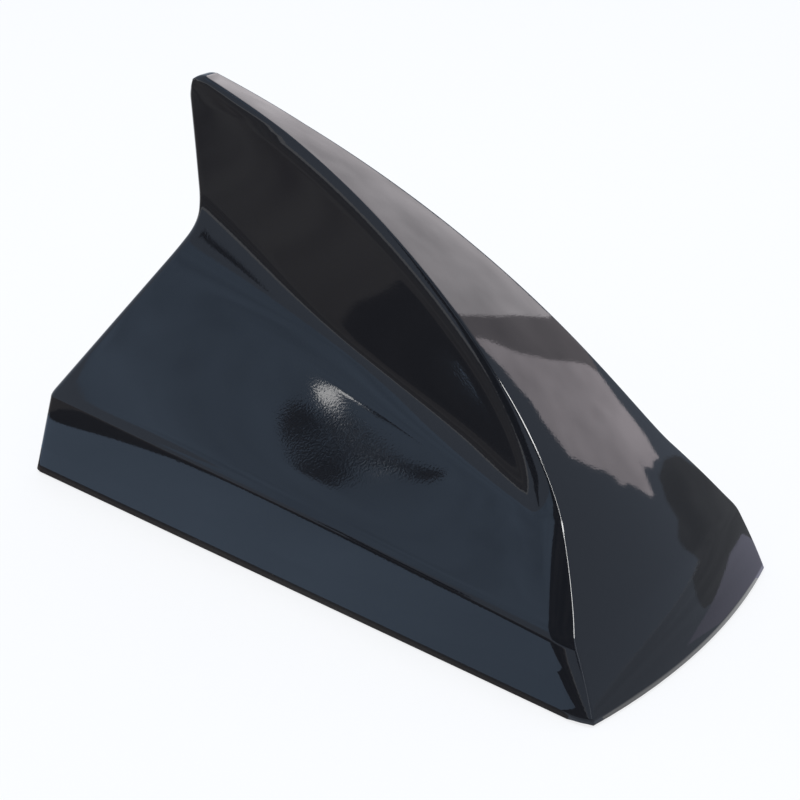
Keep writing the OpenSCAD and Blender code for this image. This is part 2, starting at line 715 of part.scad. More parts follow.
// Loading coil: a moulded bobbin and one layer of enamelled wire
bobbin_lip = 1.2;
bobbin_core_r = 2.4;
wire = 0.6;
module coil_former() {
    color([0.9, 0.88, 0.8])
    translate([coil_x, 0, board_top]) rotate_extrude() polygon([
        [0, 0], [coil_r, 0], [coil_r, bobbin_lip], [bobbin_core_r, bobbin_lip],
        [bobbin_core_r, coil_h - bobbin_lip], [coil_r, coil_h - bobbin_lip], [coil_r, coil_h], [0, coil_h]
    ]);
}
module coil_winding() {
    turns = floor((coil_h - 2 * bobbin_lip) / wire);
    r = coil_r - 0.5;
    color([0.72, 0.4, 0.2])
    translate([coil_x, 0, board_top + bobbin_lip]) rotate_extrude() polygon(concat(
        [[bobbin_core_r + slip, 0]],
        [for (i = [0:turns - 1])
            each [[r - wire / 3, wire * i], [r, wire * (i + 0.3)], [r, wire * (i + 0.7)]]],
        [[r - wire / 3, wire * turns], [bobbin_core_r + slip, wire * turns]]
    ));
}

// Telephone aerials: folded sheet with a foot soldered to the board
sheet = 0.5;
rear_el_h = 26;
rear_el_w = 30;
rear_el_neck = 8;
module rear_cell_element() {
    top_y = min(rear_el_w / 2 - 4, hollow_y(rear_el_x, rear_el_h) - air);
    low_y = rear_el_w / 2;
    neck = board_top + rear_el_neck;
    color([0.76, 0.77, 0.79]) {
        translate([rear_el_x, -low_y + 3, board_top]) cube([4, 2 * low_y - 6, sheet]);
        translate([rear_el_x, 0, 0]) rotate([90, 0, 90]) linear_extrude(sheet) difference() {
            polygon([
                [-low_y, board_top], [low_y, board_top], [low_y, neck], [top_y, rear_el_h],
                [-top_y, rear_el_h], [-low_y, neck]
            ]);
            for (side = [-1, 1]) translate([side * low_y / 2 - 1.2, board_top + 3])
                square([2.4, rear_el_h - board_top - 7]);
        }
    }
}
side_el_x = -30;
side_el_l = 24;
side_el_h = 9;
side_el_y = boss_y + 1.6;
module side_cell_element() {
    color([0.76, 0.77, 0.79])
    translate([side_el_x, side_el_y, board_top]) {
        translate([0, -3, 0]) cube([side_el_l, 3, sheet]);
        rotate([90, 0, 0]) translate([0, 0, -sheet]) linear_extrude(sheet) difference() {
            square([side_el_l, side_el_h]);
            for (i = [0:2]) translate([3 + 7 * i, 3]) square([4, side_el_h - 4.5]);
        }
    }
}

cover();
base_plate();
perimeter_seal();
roof_pad();
threaded_insert();
earth_ring();
cable_grommet();
vent_plug();
cover_screws();
main_board();
board_screws();
shield_can();
board_chips();
cable_sockets();
patch_tape();
patch_ceramic();
patch_pin();
fin_board();
fin_board_clips();
fin_board_foam();
coil_former();
coil_winding();
rear_cell_element();
side_cell_element();
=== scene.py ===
# Looks of a shark fin aerial for a car roof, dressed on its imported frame

import math

import bmesh
import bpy
import numpy as np
from bpy.props import FloatProperty, PointerProperty, StringProperty
from mathutils import Matrix, Vector


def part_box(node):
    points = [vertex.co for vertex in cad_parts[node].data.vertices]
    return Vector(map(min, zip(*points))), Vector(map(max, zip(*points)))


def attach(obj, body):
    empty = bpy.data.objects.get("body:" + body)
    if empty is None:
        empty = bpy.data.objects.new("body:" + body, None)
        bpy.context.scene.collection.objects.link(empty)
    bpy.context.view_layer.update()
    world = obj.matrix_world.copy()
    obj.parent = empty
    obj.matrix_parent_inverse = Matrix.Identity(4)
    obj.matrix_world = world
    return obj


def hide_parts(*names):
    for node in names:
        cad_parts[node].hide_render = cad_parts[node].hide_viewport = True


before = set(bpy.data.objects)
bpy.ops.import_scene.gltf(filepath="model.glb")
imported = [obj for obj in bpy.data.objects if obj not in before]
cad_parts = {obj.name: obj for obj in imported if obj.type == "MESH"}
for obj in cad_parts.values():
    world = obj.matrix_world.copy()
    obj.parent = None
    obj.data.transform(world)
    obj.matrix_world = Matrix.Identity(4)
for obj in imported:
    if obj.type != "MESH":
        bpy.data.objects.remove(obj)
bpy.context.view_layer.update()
MM = 0.001

bl_info = {
    "name": "Shark fin aerial",
    "version": (1, 0, 0),
    "blender": (4, 5, 0),
    "location": "3D View > Sidebar > Aerial",
    "description": "Dresses the packed shark fin aerial and sets its studio",
    "category": "Object",
}


# Colours and nodes


def linear(hex_colour):
    """sRGB hex to the linear colour that shaders take."""
    values = [int(hex_colour[i : i + 2], 16) / 255 for i in (0, 2, 4)]
    return tuple(v / 12.92 if v <= 0.04045 else ((v + 0.055) / 1.055) ** 2.4 for v in values) + (1.0,)


def add(tree, kind, settings=None, links=None):
    """One shader node: settings name its own values or its sockets, links name where a socket comes from."""
    made = tree.nodes.new(kind)
    for name, value in (settings or {}).items():
        if isinstance(name, int) or name in made.inputs:
            made.inputs[name].default_value = value
        else:
            setattr(made, name, value)
    for name, (source, output) in (links or {}).items():
        tree.links.new(source.outputs[output], made.inputs[name])
    return made


def new_material(name):
    """An empty material and its node tree."""
    made = bpy.data.materials.new(name)
    made.use_nodes = True
    made.node_tree.nodes.clear()
    return made, made.node_tree


def place(tree):
    """Places on the object in metres, the same whichever way it is looked at."""
    return add(tree, "ShaderNodeTexCoord")


def finish(made, tree, shader, output="BSDF"):
    """The material with its surface taken from a shader."""
    add(tree, "ShaderNodeOutputMaterial", links={"Surface": (shader, output)})
    return made


def grain(tree, size_mm, detail=3.0):
    """Noise whose grains are about as wide as given."""
    where = place(tree)
    return add(
        tree, "ShaderNodeTexNoise",
        {"Scale": 1 / (size_mm * MM), "Detail": detail},
        {"Vector": (where, "Object")},
    )


def shaded(tree, noise, dark, light):
    """A ramp between two close colours, for the unevenness of a real surface."""
    ramp = add(tree, "ShaderNodeValToRGB", links={"Fac": (noise, "Fac")})
    ramp.color_ramp.elements[0].position = 0.35
    ramp.color_ramp.elements[0].color = linear(dark)
    ramp.color_ramp.elements[1].position = 0.65
    ramp.color_ramp.elements[1].color = linear(light)
    return ramp


def relief(tree, height, depth_mm, output="Fac"):
    """Bumps of that depth, where the height runs from 0 to 1."""
    return add(
        tree, "ShaderNodeBump",
        {"Distance": depth_mm * MM, "Strength": 1.0},
        {"Height": (height, output)},
    )


# Materials


def gloss_lacquer(colour):
    """Black lacquer sprayed on moulded plastic: mirror gloss over a deep colour, with a trace of orange peel
    and of fine dust, which breaks a small bright reflection into specks."""
    made, tree = new_material("black_lacquer_on_moulded_plastic")
    peel = relief(tree, grain(tree, 2.4, 1.0), 0.0012)
    dust = grain(tree, 0.45, 1.0)
    specks = add(
        tree, "ShaderNodeBump", {"Distance": 0.003 * MM, "Strength": 1.0},
        {"Height": (dust, "Fac"), "Normal": (peel, "Normal")},
    )
    shader = add(
        tree, "ShaderNodeBsdfPrincipled",
        {"Base Color": linear(colour), "Roughness": 0.045, "IOR": 1.5},
        {"Normal": (specks, "Normal")},
    )
    return finish(made, tree, shader)


def cast_aluminium():
    """Die-cast aluminium, lightly blasted: a grey metal with a fine dry grit that blurs what it reflects."""
    made, tree = new_material("blasted_die_cast_aluminium")
    skin = grain(tree, 0.35, 4.0)
    clouds = grain(tree, 9.0, 2.0)
    shader = add(
        tree, "ShaderNodeBsdfPrincipled",
        {"Metallic": 1.0, "Roughness": 0.48},
        {
            "Base Color": (shaded(tree, clouds, "95989c", "a8abae"), "Color"),
            "Normal": (relief(tree, skin, 0.03), "Normal"),
        },
    )
    return finish(made, tree, shader)


def moulded_rubber(name, dark, light):
    """Moulded rubber: near black, with a dull sheen and the fine texture of its mould."""
    made, tree = new_material(name)
    skin = grain(tree, 0.25)
    bloom = grain(tree, 6.0, 2.0)
    shader = add(
        tree, "ShaderNodeBsdfPrincipled",
        {"Roughness": 0.62, "IOR": 1.52},
        {
            "Base Color": (shaded(tree, bloom, dark, light), "Color"),
            "Normal": (relief(tree, skin, 0.02), "Normal"),
        },
    )
    return finish(made, tree, shader)


def foam(name, dark, light, cell_mm):
    """Foam: cut cells with no gloss, whose colour darkens with the same cell field that raises their relief.
    This is painted shade that makes the cells show as small dark pits.
    """
    made, tree = new_material(name)
    where = place(tree)
    cell_pits_and_shade = add(
        tree, "ShaderNodeTexVoronoi", {"Scale": 1 / (cell_mm * MM)}, {"Vector": (where, "Object")}
    )
    # Painted shade: the ramp darkens the colour with distance in the cell field, as shade in the pits
    ramp = add(tree, "ShaderNodeValToRGB", links={"Fac": (cell_pits_and_shade, "Distance")})
    ramp.color_ramp.elements[0].color = linear(light)
    ramp.color_ramp.elements[1].position = 0.75
    ramp.color_ramp.elements[1].color = linear(dark)
    shader = add(
        tree, "ShaderNodeBsdfPrincipled",
        {"Roughness": 0.9, "IOR": 1.45},
        {
            "Base Color": (ramp, "Color"),
            "Normal": (relief(tree, cell_pits_and_shade, cell_mm * 0.3, "Distance"), "Normal"),
        },
    )
    return finish(made, tree, shader)


def turned_metal(name, dark, light, line_mm, rough):
    """Turned metal: fine rings left by the tool, which stretch each highlight along the axis."""
    made, tree = new_material(name)
    where = place(tree)
    rings = add(
        tree, "ShaderNodeTexWave",
        {"bands_direction": "Z", "Scale": 1 / (line_mm * MM) / 20, "Distortion": 0.6, "Detail": 2.0},
        {"Vector": (where, "Object")},
    )
    tone = grain(tree, 3.0)
    shader = add(
        tree, "ShaderNodeBsdfPrincipled",
        {"Metallic": 1.0, "Roughness": rough},
        {
            "Base Color": (shaded(tree, tone, dark, light), "Color"),
            "Normal": (relief(tree, rings, 0.006), "Normal"),
        },
    )
    return finish(made, tree, shader)


def rolled_metal(name, dark, light, rough, drawn=12.0):
    """Rolled sheet: faint straight lines from the mill and a slightly cloudy plating."""
    made, tree = new_material(name)
    where = place(tree)
    pulled = add(
        tree, "ShaderNodeMapping", {"Scale": (1 / drawn, 1.0, 1.0)}, {"Vector": (where, "Object")}
    )
    lines = add(
        tree, "ShaderNodeTexNoise",
        {"Scale": 1 / (0.3 * MM), "Detail": 2.0},
        {"Vector": (pulled, "Vector")},
    )
    tone = grain(tree, 5.0)
    shader = add(
        tree, "ShaderNodeBsdfPrincipled",
        {"Metallic": 1.0, "Roughness": rough},
        {
            "Base Color": (shaded(tree, tone, dark, light), "Color"),
            "Normal": (relief(tree, lines, 0.008), "Normal"),
        },
    )
    return finish(made, tree, shader)


def moulded_plastic(name, dark, light, rough, grit_mm=0.3):
    """Moulded plastic: even colour, a soft sheen and the fine texture of the tool."""
    made, tree = new_material(name)
    skin = grain(tree, grit_mm)
    tone = grain(tree, 8.0)
    shader = add(
        tree, "ShaderNodeBsdfPrincipled",
        {"Roughness": rough, "IOR": 1.5},
        {
            "Base Color": (shaded(tree, tone, dark, light), "Color"),
            "Normal": (relief(tree, skin, 0.012), "Normal"),
        },
    )
    return finish(made, tree, shader)


def solder_mask():
    """Glass laminate under green solder mask: copper shows through as paler bands between darker laminate."""
    made, tree = new_material("green_solder_mask_on_glass_laminate")
    where = place(tree)
    tracks = add(
        tree, "ShaderNodeTexBrick",
        {
            "Scale": 1 / (6.0 * MM), "Mortar Size": 0.07, "Brick Width": 0.9, "Row Height": 0.32,
            "Color1": linear("175234"), "Color2": linear("1c5c3a"), "Mortar": linear("0e3a24"),
        },
        {"Vector": (where, "Object")},
    )
    weave = add(
        tree, "ShaderNodeTexChecker", {"Scale": 1 / (0.5 * MM)}, {"Vector": (where, "Object")}
    )
    shader = add(
        tree, "ShaderNodeBsdfPrincipled",
        {"Roughness": 0.35, "IOR": 1.5, "Coat Weight": 0.6, "Coat Roughness": 0.15},
        {
            "Base Color": (tracks, "Color"),
            "Normal": (relief(tree, weave, 0.004), "Normal"),
        },
    )
    return finish(made, tree, shader)


def silvered_ceramic():
    """Fired ceramic with a silver electrode fired on its top: chalky sides under a bright square."""
    made, tree = new_material("fired_ceramic_with_silver_electrode")
    low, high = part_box("patch_ceramic")
    middle = (low + high) / 2
    margin = 1.6 * MM
    where = place(tree)
    shape = add(tree, "ShaderNodeNewGeometry")
    axes = add(tree, "ShaderNodeSeparateXYZ", links={"Vector": (where, "Object")})
    way = add(tree, "ShaderNodeSeparateXYZ", links={"Vector": (shape, "Normal")})
    inside = add(tree, "ShaderNodeMath", {"operation": "GREATER_THAN", 1: 0.9}, {0: (way, "Z")})
    for axis, centre, half in (("X", middle.x, (high.x - low.x) / 2), ("Y", middle.y, (high.y - low.y) / 2)):
        near = add(
            tree, "ShaderNodeMath",
            {"operation": "COMPARE", 1: centre, 2: half - margin}, {0: (axes, axis)},
        )
        inside = add(tree, "ShaderNodeMath", {"operation": "MULTIPLY"}, {0: (inside, 0), 1: (near, 0)})
    tone = grain(tree, 1.2)
    ceramic = add(
        tree, "ShaderNodeBsdfPrincipled", {"Roughness": 0.55, "IOR": 1.7},
        {"Base Color": (shaded(tree, tone, "cdbfa4", "d9cdb4"), "Color")},
    )
    silver = add(
        tree, "ShaderNodeBsdfPrincipled", {"Metallic": 1.0, "Roughness": 0.38},
        {"Base Color": (shaded(tree, tone, "c9cbcd", "d6d7d8"), "Color")},
    )
    both = add(
        tree, "ShaderNodeMixShader", links={"Fac": (inside, 0), 1: (ceramic, "BSDF"), 2: (silver, "BSDF")}
    )
    return finish(made, tree, both, "Shader")


# Form of the cover


def clamp(value, low, high):
    return min(max(value, low), high)


def mix(a, b, k):
    return a + (b - a) * k


def ease(k):
    k = clamp(k, 0.0, 1.0)
    return k * k * (3 - 2 * k)


def hinge(d, r):
    """Nought before the corner and d after it, with the corner rounded over r to each side."""
    if d <= -r:
        return 0.0
    return d if d >= r else (d + r) ** 2 / (4 * r)


def skirt_soft(k):
    """Rounding of the skirt's top edge, that share of the way along a side."""
    return mix(0.03, 0.08, ease(k / 0.3))


def root_soft(k):
    """Rounding of the fin's root, tighter along the blade than at its two ends."""
    return mix(0.22, 0.05, ease((k - 0.05) / 0.45)) + 0.2 * ease((k - 0.86) / 0.14)


def unit(v):
    return v / np.linalg.norm(v)


def bezier(p, t):
    return (1 - t) ** 3 * p[0] + 3 * (1 - t) ** 2 * t * p[1] + 3 * (1 - t) * t * t * p[2] + t**3 * p[3]


def bezier_way(p, t):
    return (1 - t) ** 2 * (p[1] - p[0]) + 2 * (1 - t) * t * (p[2] - p[1]) + t * t * (p[3] - p[2])


class CoverForm:
    """The cover's skins in millimetres, from the sizes in the panel and as the solid has them.
    Levels run 0 to 1 up the skirt, 1 to 2 up the shoulder and 2 to 3 up the fin."""

    # Roundings between the skirt, the shoulder and the fin, in levels
    foot_soft = 0.02
    tail_soft = 0.09
    nose_soft = 0.22
    # Share of the tip's levels at which the nose line goes over into the tip's arc
    arc_start = 0.5
    # Powers by which the front face narrows upward, the fin widens forward and the nose's bow fades
    fin_spread = 1.25
    fin_hollow = 1.8
    bow_fade = 1.6
    # Least half width of the hollow in millimetres, and the level at which it ends
    core_y = 0.6
    core_top = 2.68
    # Thickness at the shoulder, the tail and the nose, in walls
    shoulder_wall = 1.3
    tail_wall = 1.2
    nose_wall = 1.15

    def __init__(self, sizes):
        for name in sizes.__annotations__:
            value = getattr(sizes, name)
            setattr(self, name, value / MM if name in LENGTHS else value)
        s = self
        s.foot_tail = np.array([-s.length / 2 + s.tail_bow, s.seal_show])
        s.foot_nose = np.array([s.length / 2 - s.nose_bow, s.seal_show])
        s.skirt_tail = np.array([s.foot_tail[0] + s.tail_lean, s.skirt_tail_h])
        s.root_tail = np.array([s.foot_tail[0] + s.root_tail_in, s.root_tail_h])
        s.peak = np.array([s.root_tail[0] - s.tip_overhang, s.peak_h])
        s.nose_line = [
            s.foot_nose,
            np.array([s.foot_nose[0] - s.foot_handle_x, s.foot_handle_h]),
            np.array([s.peak[0] + s.tip_handle_x, s.peak_h - s.tip_handle_drop]),
            s.peak,
        ]
        s.tip_back = unit(s.root_tail - s.peak)
        s.tip_fore = unit(s.nose_line[2] - s.peak)
        half = math.acos(float(s.tip_back @ s.tip_fore)) / 2
        s.tip_run = s.tip_r / math.tan(half)
        s.tip_mid = s.peak + unit(s.tip_back + s.tip_fore) * s.tip_r / math.sin(half)
        s.tip_level = 3 - s.tip_run / np.linalg.norm(s.peak - s.root_tail)
        s.tip_share = 1 - s.tip_run / np.linalg.norm(3 * (s.peak - s.nose_line[2]))
        s.skirt_y = s.width / 2 - s.skirt_lean
        s.foot_nose_y = s.width / 2 - s.edge_roll
        s.skirt_nose_h = bezier(s.nose_line, s.skirt_share)[1]

    def tip_part(s, v):
        """How far into the tip's rounding a level is, from 0 to 1."""
        return max(0.0, (v - s.tip_level) / (3 - s.tip_level))

    def tip_arc(s, way, k):
        """The tip's arc from where it leaves a straight edge to its top."""
        start = unit(s.peak + way * s.tip_run - s.tip_mid)
        return s.tip_mid + s.tip_r * unit(mix(start, unit(s.peak - s.tip_mid), k))

    def tail_line(s, v):
        a = hinge(v - 1, s.foot_soft)
        b = hinge(v - 2, s.tail_soft)
        return (
            s.foot_tail + (s.skirt_tail - s.foot_tail) * (v - a)
            + (s.root_tail - s.skirt_tail) * (a - b) + (s.peak - s.root_tail) * b
        )

    def nose_run(s, v):
        a = hinge(v - 1, s.nose_soft)
        b = hinge(v - 2, s.nose_soft)
        return s.skirt_share * (v - a) + (s.root_share - s.skirt_share) * (a - b) + (1 - s.root_share) * b

    def nose_share(s, v):
        """The curve parameter of the nose line at a level."""
        if v <= s.tip_level:
            return s.nose_run(v)
        return mix(s.nose_run(s.tip_level), s.tip_share, min(s.tip_part(v) / s.arc_start, 1))

    def tail_at(s, v):
        return s.tail_line(v) if v <= s.tip_level else s.tip_arc(s.tip_back, s.tip_part(v))

    def nose_at(s, v):
        if s.tip_part(v) <= s.arc_start:
            return bezier(s.nose_line, s.nose_share(v))
        return s.tip_arc(s.tip_fore, (s.tip_part(v) - s.arc_start) / (1 - s.arc_start))

    def dip_at(s, v):
        """How far a ring sags in its middle."""
        a = hinge(v - 1, s.nose_soft)
        b = hinge(v - 2, s.nose_soft)
        return ((s.root_sag + s.skirt_bow) * (a - b) - s.skirt_bow * (v - a)) * clamp(1 - b, 0, 1) ** 2

    def side_point(s, v, k):
        p = mix(s.tail_at(v), s.nose_at(v), k)
        return p - np.array([0, 4 * k * (1 - k) * s.dip_at(v)])

    def roll_at(s, v):
        """How far the band beside the nose edge rolls inward."""
        return min(s.edge_roll, 0.35 * mix(s.tip_nose_y, s.root_nose_y, clamp(3 - v, 0, 1)))

    def fin_y(s, u, k):
        """Half width of the fin, u up from its root and k forward."""
        tail = mix(s.root_tail_y, s.tip_tail_y, u)
        nose = s.tip_nose_y + (s.root_nose_y - s.tip_nose_y) * (1 - u) ** s.fin_spread + s.roll_at(2 + u)
        return mix(tail, nose, k**s.fin_hollow)

    def side_y(s, v, k):
        """Half width at a level, k of the way forward."""
        a = hinge(v - 1, skirt_soft(k))
        b = hinge(v - 2, root_soft(k))
        return (
            s.width / 2 - s.skirt_lean * (v - a) + (s.fin_y(0, k) - s.skirt_y) * (a - b)
            + s.fin_y(clamp(b, 0, 1), k) - s.fin_y(0, k)
        )

    def nose_rise(s, v):
        """Slope of the nose line in degrees."""
        way = bezier_way(s.nose_line, s.nose_share(v))
        return math.degrees(math.atan2(way[1], -way[0]))

    def nose_gap(s, v):
        """Angle in degrees at which a ring meets the nose line."""
        d = s.nose_at(v) - s.tail_at(v)
        return clamp(s.nose_rise(v) + math.degrees(math.atan2(d[1], d[0])), 12, 90)

    def nose_tilt(s, v):
        """Degrees above level that the front face's bow points."""
        if s.tip_part(v) > s.arc_start:
            d = s.nose_at(v) - s.tip_mid
            return math.degrees(math.atan2(d[1], d[0]))
        return (90 - s.nose_rise(v)) * ease(s.nose_share(v) / s.skirt_share)

    def half_ring(s, v, steps):
        """Points of one side of a ring, from the middle of the tail to the middle of the nose."""
        tail = s.tail_at(v)
        nose = s.nose_at(v)
        long = np.linalg.norm(nose - tail)
        run = min(s.tail_corner_r, 0.3 * long) / long
        start_y = s.side_y(v, run)
        corner_y = min(s.tail_corner_r, 0.8 * start_y)
        band = min(s.edge_band / math.sin(math.radians(s.nose_gap(v))), 0.45 * long) / long
        roll = s.roll_at(v)
        end_y = s.side_y(v, 1) - roll
        tail_out = s.tail_bow * (1 - ease(s.tip_part(v) / s.arc_start))
        points = []
        for i in range(steps["tail"]):
            k = i / steps["tail"]
            points.append((tail[0] - tail_out * (1 - k * k), (start_y - corner_y) * k, tail[1]))
        for i in range(steps["corner"]):
            a = math.pi / 2 * i / steps["corner"]
            p = s.side_point(v, run * (1 - math.cos(a)))
            points.append((p[0], start_y - corner_y * (1 - math.sin(a)), p[1]))
        for i in range(steps["side"]):
            k = mix(run, 1 - band, i / steps["side"])
            p = s.side_point(v, k)
            points.append((p[0], s.side_y(v, k), p[1]))
        for i in range(steps["band"] + 1):
            k = i / steps["band"]
            p = s.side_point(v, mix(1 - band, 1, k))
            points.append((p[0], s.side_y(v, mix(1 - band, 1, k)) - roll * k * k, p[1]))
        points += s.front_points(nose, end_y, v, steps["front"])[1:]
        return s.eased_corner(np.array(points), steps)

    def front_points(s, start, end_y, v, count):
        """From the nose edge to the middle, bowed out along the nose line's own outward way."""
        bow = s.nose_bow * (end_y / s.foot_nose_y) ** s.bow_fade
        tilt = math.radians(s.nose_tilt(v))
        points = []
        for i in range(count + 1):
            k = 1 - i / count
            out = bow * (1 - k * k)
            points.append((start[0] + out * math.cos(tilt), end_y * k, start[1] + out * math.sin(tilt)))
        return points

    def side_wall(s, v):
        """Thickness of the side, which is stouter at the shoulder."""
        a = hinge(v - 1, s.nose_soft)
        b = hinge(v - 2, s.nose_soft)
        return s.wall * mix(1, s.shoulder_wall, clamp(a - b, 0, 1) * (1 - clamp(b * 2, 0, 1)))

    def core_start(s, v):
        """Share of a ring at which the fin is wide enough for the hollow."""
        low = s.side_y(v, 0)
        short = s.core_y + s.side_wall(v) - low
        return 0.0 if short <= 0 else clamp(short / (s.side_y(v, 1) - low), 0, 1) ** (1 / s.fin_hollow)

    def inner_ring(s, v, steps):
        """One side of a ring of the inner skin, a wall inside the outer one and with as many points."""
        long = np.linalg.norm(s.nose_at(v) - s.tail_at(v))
        first = max(s.tail_wall * s.wall / long, s.core_start(v))
        last = 1 - s.nose_wall * s.wall / math.sin(math.radians(s.nose_gap(v))) / long
        start = s.side_point(v, first)
        start_y = s.side_y(v, first) - s.side_wall(v)
        end_y = s.side_y(v, last) - s.side_wall(v) - s.roll_at(v) / 2
        across = steps["tail"] + steps["corner"]
        along = steps["side"] + steps["band"] + steps["ease"] - 1
        points = [(start[0], start_y * i / across, start[1]) for i in range(across)]
        for i in range(along):
            k = i / along
            p = s.side_point(v, mix(first, last, k))
            inset = s.side_wall(v) + s.roll_at(v) / 2 * k**8
            points.append((p[0], s.side_y(v, mix(first, last, k)) - inset, p[1]))
        return np.array(points + s.front_points(s.side_point(v, last), end_y, v, steps["front"]))

    def shoulder_h(s, x, y):
        """Height of the middle of the shoulder's wall over a point of the plan."""
        low, high = 1.0, 2.0
        for _ in range(14):
            v = (low + high) / 2
            k = clamp((x - s.tail_at(v)[0]) / (s.nose_at(v)[0] - s.tail_at(v)[0]), 0, 1)
            if s.side_y(v, k) > abs(y):
                low = v
            else:
                high = v
        return s.side_point(v, k)[1] - 0.6 * s.wall

    def eased_corner(s, points, steps):
        """Rounds the edge between the side and the front face, so that it catches the light."""
        at = steps["tail"] + steps["corner"] + steps["side"] + steps["band"]
        reach = min(s.edge_ease, 0.3 * np.linalg.norm(points[at] - points[-1]))
        corner = points[at].copy()
        before = walk(points[at::-1], reach)
        after = walk(points[at:], reach)
        arc = [
            (1 - k) ** 2 * before + 2 * (1 - k) * k * corner + k * k * after
            for k in np.linspace(0, 1, steps["ease"])
        ]
        low = resample(points[: at + 1], reach, steps["band"])
        high = resample(points[at:][::-1], reach, steps["front"])[::-1]
        return np.vstack([low[:-1], arc, high[1:]])


def walk(points, distance):
    """The point that far along a line of points."""
    for a, b in zip(points[:-1], points[1:]):
        step = np.linalg.norm(b - a)
        if step >= distance:
            return a + (b - a) * distance / step
        distance -= step
    return points[-1]


def resample(points, cut, last):
    """The line of points with its last stretch respaced to end the cut's distance before its end."""
    tail = points[-last - 1 :]
    lengths = np.concatenate([[0], np.cumsum(np.linalg.norm(np.diff(tail, axis=0), axis=1))])
    want = np.linspace(0, lengths[-1] - cut, last + 1)
    new = np.stack([np.interp(want, lengths, tail[:, i]) for i in range(3)], 1)
    return np.vstack([points[: len(points) - last - 1], new])


# Points in each stretch of a half ring of the cover
RING_STEPS = {"tail": 6, "corner": 10, "side": 56, "band": 14, "ease": 11, "front": 22}

# Stretches of levels up to the straight part of the fin: from, to and how many rings
FIN_LEVEL = 2.3
OUTER_LEVELS = [(0.0, 0.9, 12), (0.9, 1.1, 24), (1.1, 1.75, 26), (1.75, FIN_LEVEL, 34)]
INNER_LEVELS = [(0.0, 0.9, 4), (0.9, 1.1, 6), (1.1, 1.75, 12), (1.75, FIN_LEVEL, 14)]

# Rings above it: outside up to the tip and round it to a hair short of its top, and inside
FIN_RINGS = 40
TIP_RINGS = 22
LAST_LEVEL = 2.9995
CORE_RINGS = 8

# Screw bosses in the cover and the ribs that tie them to its sides, in millimetres
BOSS_R = 3.4
BOSS_LOW = 9.1
BOSS_SIDE_IN = 12.2
BOSS_TAIL_IN = 19.7
BOSS_NOSE_IN = 28.7
BOSS_SIDES = 32
BORE_R = 1.3
BORE_L = 9.5
RIB_T = 1.4
RIB_UP_AT_BOSS = 5
RIB_UP_AT_WALL = 2

# Brass insert and its M6 thread, in millimetres, with the points round it and the rings in each turn
BOLT_X = 2
INSERT_R = 4.2
INSERT_LOW = 1.2
INSERT_HIGH = 11.2
THREAD_PITCH = 1.0
THREAD_CORE_R = 2.5
THREAD_ROOT_R = 3.0
THREAD_CHAMFER = 0.7
THREAD_STEEP = 1.25
THREAD_SIDES = 64
THREAD_ROWS = 12


def spaced(stretches):
    """Levels close together where a skin turns, and further apart where it runs straight."""
    return [mix(a, b, i / n) for a, b, n in stretches for i in range(n)]


def skin(rings, first):
    """Faces between neighbouring rings. Each ring is a half ring and its mirror image, and the points of
    the first start at the number given."""
    count = len(rings[0])
    faces = []
    for k in range(len(rings) - 1):
        for i in range(count - 1):
            a = first + 2 * count * k + i
            c = a + 1 + 2 * count
            faces += [(a, a + 1, c, c - 1), (a + count, c - 1 + count, c + count, a + 1 + count)]
    return faces


def cap(count, first):
    """Faces that close a ring across, from its half ring to the mirror image."""
    return [(first + i, first + i + 1, first + i + 1 + count, first + i + count) for i in range(count - 1)]


def mirrored(rings):
    """Each half ring in metres, followed by its mirror image."""
    return [tuple(p * side * MM) for ring in rings for side in ((1, 1, 1), (1, -1, 1)) for p in ring]


def boss(form, x, y):
    """A closed screw boss that hangs from the shoulder, with its blind hole."""
    turns = [2 * math.pi * i / BOSS_SIDES for i in range(BOSS_SIDES)]
    wide = [(x + BOSS_R * math.cos(a), y + BOSS_R * math.sin(a)) for a in turns]
    bore = [(x + BORE_R * math.cos(a), y + BORE_R * math.sin(a)) for a in turns]
    rims = [
        [(*p, form.shoulder_h(*p)) for p in wide],
        [(*p, BOSS_LOW) for p in wide],
        [(*p, BOSS_LOW) for p in bore],
        [(*p, BOSS_LOW + BORE_L) for p in bore],
    ]
    points = [tuple(v * MM for v in p) for rim in rims for p in rim]
    faces = []
    for low in (0, BOSS_SIDES, 2 * BOSS_SIDES):
        high = low + BOSS_SIDES
        for i in range(BOSS_SIDES):
            j = (i + 1) % BOSS_SIDES
            faces.append((low + i, low + j, high + j, high + i))
    ends = [tuple(range(BOSS_SIDES)), tuple(range(3 * BOSS_SIDES, 4 * BOSS_SIDES))]
    return points, faces + ends


def rib(form, x, side, boss_y):
    """A closed rib that ties a boss to the side wall, from three upright cuts of four points."""
    points = []
    for k in (0, 0.5, 1):
        y = mix(boss_y, form.skirt_y - form.wall / 2, k)
        low = mix(BOSS_LOW + RIB_UP_AT_BOSS, form.skirt_nose_h + RIB_UP_AT_WALL, k)
        for z in (low, form.shoulder_h(x, y)):
            points += [((x + dx) * MM, side * y * MM, z * MM) for dx in (-RIB_T / 2, RIB_T / 2)]
    faces = [(0, 1, 3, 2), (8, 9, 11, 10)]
    for k in (0, 4):
        for a, b in ((0, 1), (2, 3), (0, 2), (1, 3)):
            faces.append((k + a, k + b, k + b + 4, k + a + 4))
    return points, faces


